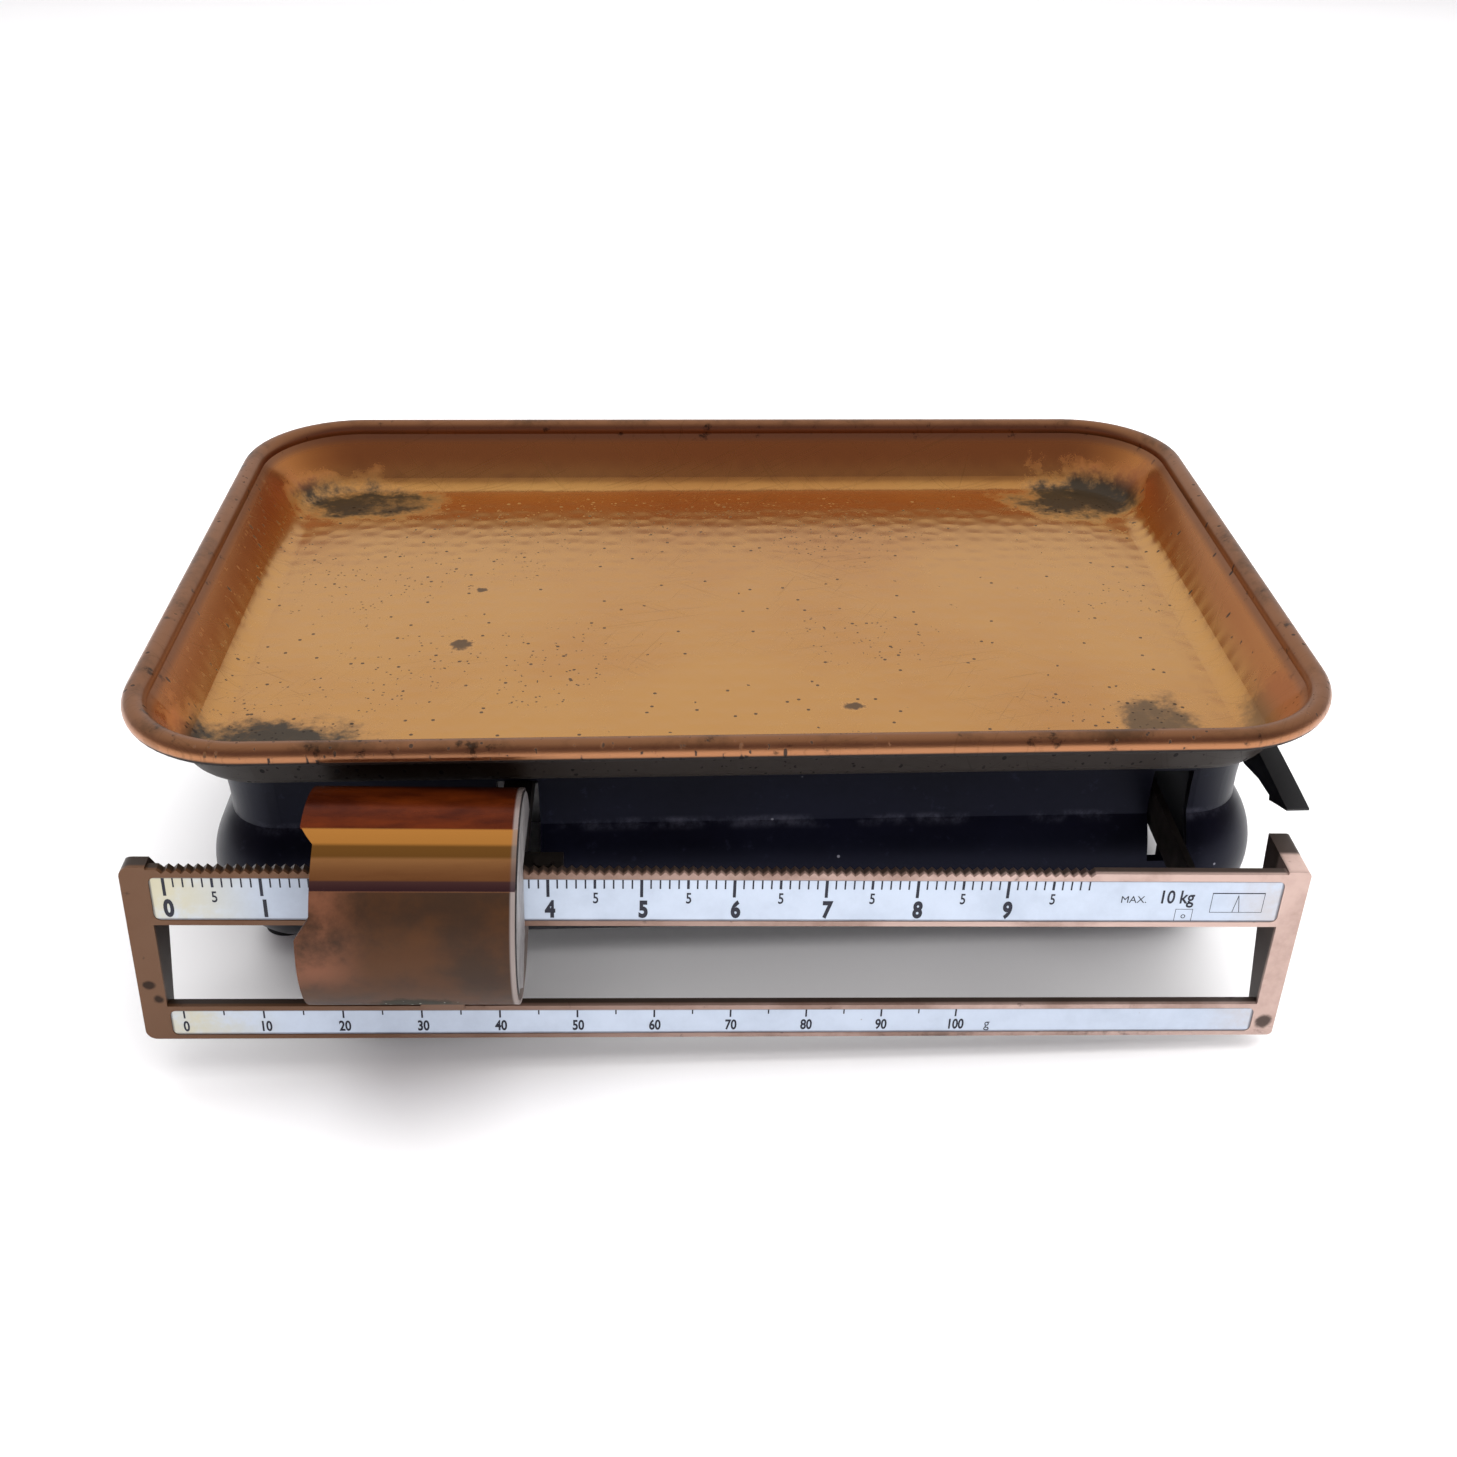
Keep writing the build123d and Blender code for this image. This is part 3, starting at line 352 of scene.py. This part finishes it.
def base_paint():
    f = Finish("base_black_paint", Specular_IOR_Level=0.16)
    f.set(Specular_Tint=(0.62, 0.66, 1.0))
    z = f.axis("Z")
    cloudy = f.noise(18, 5.0, 0.6)
    colour = f.mix(cloudy.rise(0.3, 0.7), rgb(3, 3, 7), rgb(8, 9, 20))
    # handling has greyed the crease at the waist; along the edge of the flange the grey is rubbed paint and also a
    # painted highlight
    crease = z.rise(0.0495, 0.0515) * z.rise(0.0545, 0.0525)
    rim = z.rise(0.0728, 0.0742)
    wear_and_highlight = (crease + rim * 0.6) * f.noise(55, 7.0, 0.75).rise(0.45, 0.72)
    colour = f.mix(wear_and_highlight * 0.6, colour, rgb(74, 74, 86))
    chips = f.cells(120).rise(0.07, 0.03) * f.noise(20, 3.0).rise(0.55, 0.65)
    colour = f.mix(chips * 0.8, colour, rgb(150, 150, 160))
    dust = f.noise(240, 4.0, 0.7).rise(0.6, 0.75)
    colour = f.mix(dust * 0.16, colour, rgb(60, 62, 84))
    f.set(Base_Color=colour, Roughness=0.30 + cloudy * 0.14 + wear_and_highlight * 0.25 + dust * 0.1)
    f.bump(f.noise(900, 2.0) * 0.3 + cloudy * 0.3 - chips * 0.3, 0.18, 0.0002)
    return f.material


def horn_paint():
    f = Finish("horn_black_paint")
    scuff = f.noise(70, 6.0, 0.7)
    colour = f.mix(scuff.rise(0.5, 0.75) * 0.5, rgb(10, 9, 11), rgb(44, 38, 34))
    f.set(Base_Color=colour, Roughness=0.34 + scuff * 0.2)
    f.bump(scuff, 0.15, 0.0003)
    return f.material


def scale_enamel(low, high, left, right):
    """White enamel, yellowed at its left end, with a dark line where dirt sits round it."""
    f = Finish("scale_white_enamel", Specular_IOR_Level=0.5)
    x = f.axis("X")
    stain = f.noise(42, 7.0, 0.7)
    colour = f.mix(stain.rise(0.35, 0.75), rgb(189, 201, 217), rgb(174, 186, 202))
    old = x.rise(-0.123, -0.156) * stain.rise(0.3, 0.6)
    colour = f.mix(old * 0.75, colour, rgb(196, 186, 140))
    old_right = x.rise(0.130, 0.150) * stain.rise(0.4, 0.65)
    colour = f.mix(old_right * 0.45, colour, rgb(190, 170, 150))
    specks = f.cells(210).rise(0.07, 0.03) * f.noise(25, 3.0).rise(0.52, 0.62)
    colour = f.mix(specks * 0.6, colour, rgb(120, 100, 80))
    along = f.along(ALONG, SCALE_ZERO)
    height = f.along(UP, SCALE_ZERO)
    rim = height.rise(low * MM + 0.0007, low * MM + 0.0003)
    rim = rim.larger(height.rise(high * MM - 0.0004, high * MM - 0.0001))
    rim = rim.larger(along.rise(left * MM + 0.0006, left * MM + 0.0002))
    rim = rim.larger(along.rise(right * MM - 0.0008, right * MM - 0.0003))
    colour = f.mix(rim * (0.35 + stain * 0.7), colour, rgb(66, 58, 66))
    f.set(Base_Color=colour, Roughness=0.28 + stain * 0.2)
    f.bump(stain, 0.05, 0.0002)
    return f.material


def steel(name, light, dark, rough, grain):
    """Plain steel with fine marks along the grain."""
    f = Finish(name, Metallic=0.9)
    worn = f.noise(50, 6.0, 0.65)
    lines = f.noise(4, 3.0, place=f.stretched(*grain))
    colour = f.mix(worn.rise(0.3, 0.7), light, dark)
    f.set(Base_Color=colour, Roughness=rough + worn * 0.2 + lines * 0.08)
    f.bump(lines * 0.5 + worn * 0.3, 0.2, 0.0002)
    return f.material


def brass():
    f = Finish("nut_brass", Metallic=1.0)
    worn = f.noise(60, 5.0)
    colour = f.mix(worn.rise(0.35, 0.7), rgb(206, 172, 96), rgb(150, 116, 58))
    f.set(Base_Color=colour, Roughness=0.28 + worn * 0.2)
    f.bump(f.noise(4, 2.0, place=f.stretched(400, 4, 4)), 0.3, 0.0002)
    return f.material


def rubber():
    f = Finish("foot_black_rubber", Specular_IOR_Level=0.3)
    dust = f.noise(80, 6.0, 0.7)
    colour = f.mix(dust.rise(0.45, 0.8), rgb(24, 24, 25), rgb(52, 50, 48))
    f.set(Base_Color=colour, Roughness=0.7 + dust * 0.2)
    f.bump(dust, 0.3, 0.0002)
    return f.material


def printed_ink():
    f = Finish("scale_navy_ink", Specular_IOR_Level=0.4)
    thin = f.noise(300, 4.0, 0.7)
    colour = f.mix(thin.rise(0.55, 0.8) * 0.35, rgb(13, 15, 34), rgb(60, 64, 92))
    f.set(Base_Color=colour, Roughness=0.45 + thin * 0.1)
    return f.material


BRIGHT_STEEL = (rgb(168, 168, 170), rgb(120, 120, 122))
DULL_STEEL = (rgb(70, 64, 60), rgb(38, 34, 32))
finishes = {
    "tray_copper": tray_copper(),
    "copper_finish": frame_copper(),
    "rider_copper": frame_copper(),
    "poise_copper": poise_copper(),
    "cast_poise": cast_metal(),
    "base_paint": base_paint(),
    "horn_black": horn_paint(),
    "dull_steel": steel("lever_dull_steel", *DULL_STEEL, 0.42, (4, 60, 4)),
    "bracket_steel": steel("bracket_plated_steel", *BRIGHT_STEEL, 0.36, (60, 4, 4)),
    "hard_steel": steel("knife_ground_steel", *BRIGHT_STEEL, 0.22, (200, 4, 4)),
    "screw_steel": steel("screw_plated_steel", *BRIGHT_STEEL, 0.30, (4, 4, 90)),
    "nut_brass": brass(),
    "foot_rubber": rubber(),
}
PLATES = {
    "upper_scale_plate": (-13.8, 0.0),
    "lower_scale_plate": (-53.7, -45.2),
}
PLATE_ENDS = (-3.6, 302.4)

slots = {entry["node"]: entry["material_slot"] for entry in frame["record"]["subparts"]}
for name, thing in nodes.items():
    if name in PLATES:
        material = scale_enamel(*PLATES[name], *PLATE_ENDS)
    else:
        material = finishes[slots[name]]
    thing.data.materials.clear()
    thing.data.materials.append(material)

# ---- printed scales -------------------------------------------------------------------------------
INK = printed_ink()
INK_DEPTH = 0.17             # the print stands this far proud of the plate, whose face is 0.2 behind the frame's
KG = 25.0                    # mm per kilogram on the upper scale
GRAM = 2.15                  # mm per gram on the lower scale
PRINT_TURN = Matrix((ALONG, UP, -BACK)).transposed().to_4x4()


def print_bars(name, bars):
    """Thin printed bars, each a left, bottom, right, top and lean of its foot, in millimetres on the beam."""
    corners, faces = [], []
    for left, bottom, right, top, lean in bars:
        first = len(corners)
        places = ((left + lean, bottom), (right + lean, bottom), (right, top), (left, top))
        corners += [beam_place(a, INK_DEPTH, h) for a, h in places]
        faces.append((first, first + 1, first + 2, first + 3))
    mesh = bpy.data.meshes.new(name)
    mesh.from_pydata(corners, [], faces)
    mesh.materials.append(INK)
    thing = bpy.data.objects.new(name, mesh)
    bpy.context.collection.objects.link(thing)
    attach(thing, "beam")


def print_word(name, word, along, foot, tall, narrow=0.72, weight=0.0, middle=True):
    """A printed word or number, placed by its middle or left end and its foot, with figures this tall."""
    FIGURE_HEIGHT = 0.72       # of the built-in letters, as a part of their size
    curve = bpy.data.curves.new(name, "FONT")
    curve.body = word
    curve.align_x = "CENTER" if middle else "LEFT"
    curve.size = 1.0
    curve.offset = weight
    curve.resolution_u = 4
    thing = bpy.data.objects.new(name, curve)
    bpy.context.collection.objects.link(thing)
    size = tall / FIGURE_HEIGHT * MM
    stretch = Matrix.Diagonal((size * narrow, size, size, 1.0))
    turn = Matrix.Translation(beam_place(along, INK_DEPTH, foot)) @ PRINT_TURN @ stretch
    bpy.context.view_layer.update()
    mesh = bpy.data.meshes.new_from_object(thing)
    bpy.data.objects.remove(thing)
    mesh.transform(turn)
    mesh.materials.clear()
    mesh.materials.append(INK)
    printed = bpy.data.objects.new(name, mesh)
    bpy.context.collection.objects.link(printed)
    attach(printed, "beam")


def upper_scale():
    ticks = []
    for step in range(100):
        at = step * KG / 10
        if step % 10 == 0:
            ticks.append((at - 0.42, -5.9, at + 0.42, -0.15, 0.0))
        elif step % 5 == 0:
            ticks.append((at - 0.36, -3.1, at + 0.36, -0.15, 0.0))
        else:
            ticks.append((at - 0.22, -3.1, at + 0.22, -0.15, 0.0))
    print_bars("kilogram_ticks", ticks)
    for kilos in range(10):
        print_word(f"kilogram_{kilos}", str(kilos), kilos * KG + 0.5, -12.5, 5.4, 0.68, 0.050)
        print_word(f"half_kilogram_{kilos}", "5", (kilos + 0.5) * KG + 0.2, -7.9, 3.6, 0.68, 0.016)


def lower_scale():
    TOP = -45.35
    ticks = []
    for step in range(21):
        at = step * 5 * GRAM
        if step % 2 == 0:
            ticks.append((at - 0.25, TOP - 2.65, at + 0.25, TOP, 0.0))
        else:
            ticks.append((at - 0.20, TOP - 1.55, at + 0.20, TOP, 0.0))
    print_bars("gram_ticks", ticks)
    for tens in range(11):
        print_word(f"gram_{10 * tens}", str(10 * tens), tens * 10 * GRAM + 0.2, -52.5, 3.6, 0.66, 0.030)
    print_word("gram_unit", "g", 100 * GRAM + 9.4, -52.2, 3.4, 0.8)


def legends():
    print_word("most_word", "MAX.", 256.8, -7.3, 2.4, 0.95, middle=False)
    print_word("most_load", "10 kg", 267.5, -7.4, 4.5, 0.74, 0.018, middle=False)
    line = 0.16                # width of a drawn line, mm
    # beam-and-pan sign: a box with a heavy top and a narrow pointer standing in it
    left, right, low, high = 282.6, 297.6, -10.6, -3.8
    sign = [
        (left, high - 0.35, right, high, 0.0),
        (left, low, left + line, high, 0.0),
        (right - line, low, right, high, 0.0),
        (left, low, right, low + line, 0.0),
    ]
    middle = (left + right) / 2
    for lean in (-1.0, 1.0):
        sign.append((middle - 0.1, low, middle + 0.1, high - 0.9, lean))
    # small square with a ringed dot, on the plate's lower edge
    square_left, square_right, square_low, square_high = 272.9, 277.9, -13.6, -9.4
    sign += [
        (square_left, square_high - line, square_right, square_high, 0.0),
        (square_left, square_low, square_left + line, square_high, 0.0),
        (square_right - line, square_low, square_right, square_high, 0.0),
    ]
    print_bars("plate_signs", sign)
    print_word("square_ring", "o", (square_left + square_right) / 2, -12.6, 2.1, 0.95)


upper_scale()
lower_scale()
legends()

# ---- floor, light and camera ----------------------------------------------------------------------
FLOOR_SIZE = 4.0


def pale_floor():
    mesh = bpy.data.meshes.new("floor")
    half = FLOOR_SIZE / 2
    corners = [(-half, -half, 0), (half, -half, 0), (half, half, 0), (-half, half, 0)]
    mesh.from_pydata(corners, [], [(0, 1, 2, 3)])
    f = Finish("floor_white")
    f.set(Base_Color=(0.93, 0.93, 0.93), Roughness=0.9)
    mesh.materials.append(f.material)
    floor = bpy.data.objects.new("floor", mesh)
    bpy.context.collection.objects.link(floor)


def soft_light(name, place, target, size, power, colour=(1, 1, 1)):
    lamp = bpy.data.lights.new(name, "AREA")
    lamp.shape = "RECTANGLE"
    lamp.size, lamp.size_y = size
    lamp.energy = power
    lamp.color = colour
    thing = bpy.data.objects.new(name, lamp)
    thing.location = place
    thing.rotation_euler = (Vector(target) - Vector(place)).to_track_quat("-Z", "Y").to_euler()
    thing.visible_glossy = False
    bpy.context.collection.objects.link(thing)


def surroundings():
    """A room that is bright high up behind the balance and dim in front of it."""
    BRIGHT_WAY = (0.0, 0.75, 0.66)
    world = bpy.data.worlds.new("studio")
    world.use_nodes = True
    bpy.context.scene.world = world
    tree = world.node_tree
    background = tree.nodes["Background"]
    place = tree.nodes.new("ShaderNodeTexCoord")
    towards = tree.nodes.new("ShaderNodeVectorMath")
    towards.operation = "DOT_PRODUCT"
    towards.inputs[1].default_value = BRIGHT_WAY
    spread = tree.nodes.new("ShaderNodeMapRange")
    spread.inputs["From Min"].default_value = -1.0
    ramp = tree.nodes.new("ShaderNodeValToRGB")
    tree.links.new(place.outputs["Generated"], towards.inputs[0])
    tree.links.new(towards.outputs["Value"], spread.inputs[0])
    tree.links.new(spread.outputs[0], ramp.inputs[0])
    tree.links.new(ramp.outputs[0], background.inputs[0])
    ramp.color_ramp.interpolation = "EASE"
    stops = ramp.color_ramp.elements
    stops[0].position, stops[0].color = 0.0, (0.30, 0.27, 0.31, 1)
    stops[1].position, stops[1].color = 1.0, (0.78, 0.78, 0.80, 1)
    between = {
        0.40: (0.17, 0.13, 0.18, 1),
        0.56: (0.36, 0.31, 0.32, 1),
        0.80: (0.68, 0.67, 0.67, 1),
    }
    for position, colour in between.items():
        stops.new(position).color = colour
    background.inputs[1].default_value = 1.0


def camera():
    """Camera in front of and above the balance, a little to its right."""
    yaw, pitch, roll = (math.radians(angle) for angle in (-4.724, 30.648, 1.678))
    level_right = Vector((math.cos(yaw), math.sin(yaw), 0))
    ahead = Vector((-math.sin(yaw) * math.cos(pitch), math.cos(yaw) * math.cos(pitch), -math.sin(pitch)))
    level_down = Vector((math.sin(yaw) * math.sin(pitch), -math.cos(yaw) * math.sin(pitch), -math.cos(pitch)))
    right = level_right * math.cos(roll) - level_down * math.sin(roll)
    down = level_right * math.sin(roll) + level_down * math.cos(roll)
    turn = Matrix((right, -down, -ahead)).transposed().to_4x4()
    lens = bpy.data.cameras.new("view")
    lens.sensor_width = 36.0
    lens.lens = 42.29
    lens.shift_x, lens.shift_y = -0.0422, -0.0161
    lens.clip_start, lens.clip_end = 0.01, 50.0
    thing = bpy.data.objects.new("view", lens)
    place = Vector((-0.0203, -0.48005, 0.34106))
    thing.matrix_world = Matrix.Translation(place) @ turn
    bpy.context.collection.objects.link(thing)
    bpy.context.scene.camera = thing


pale_floor()
surroundings()
soft_light("overhead", (0.25, 0.1, 1.6), (0, 0, 0), (2.6, 2.6), 60.0)
soft_light("front_fill", (0.9, -1.6, 1.0), (0, 0, 0), (1.6, 1.2), 18.0)
camera()
bpy.context.scene.view_settings.view_transform = "Standard"
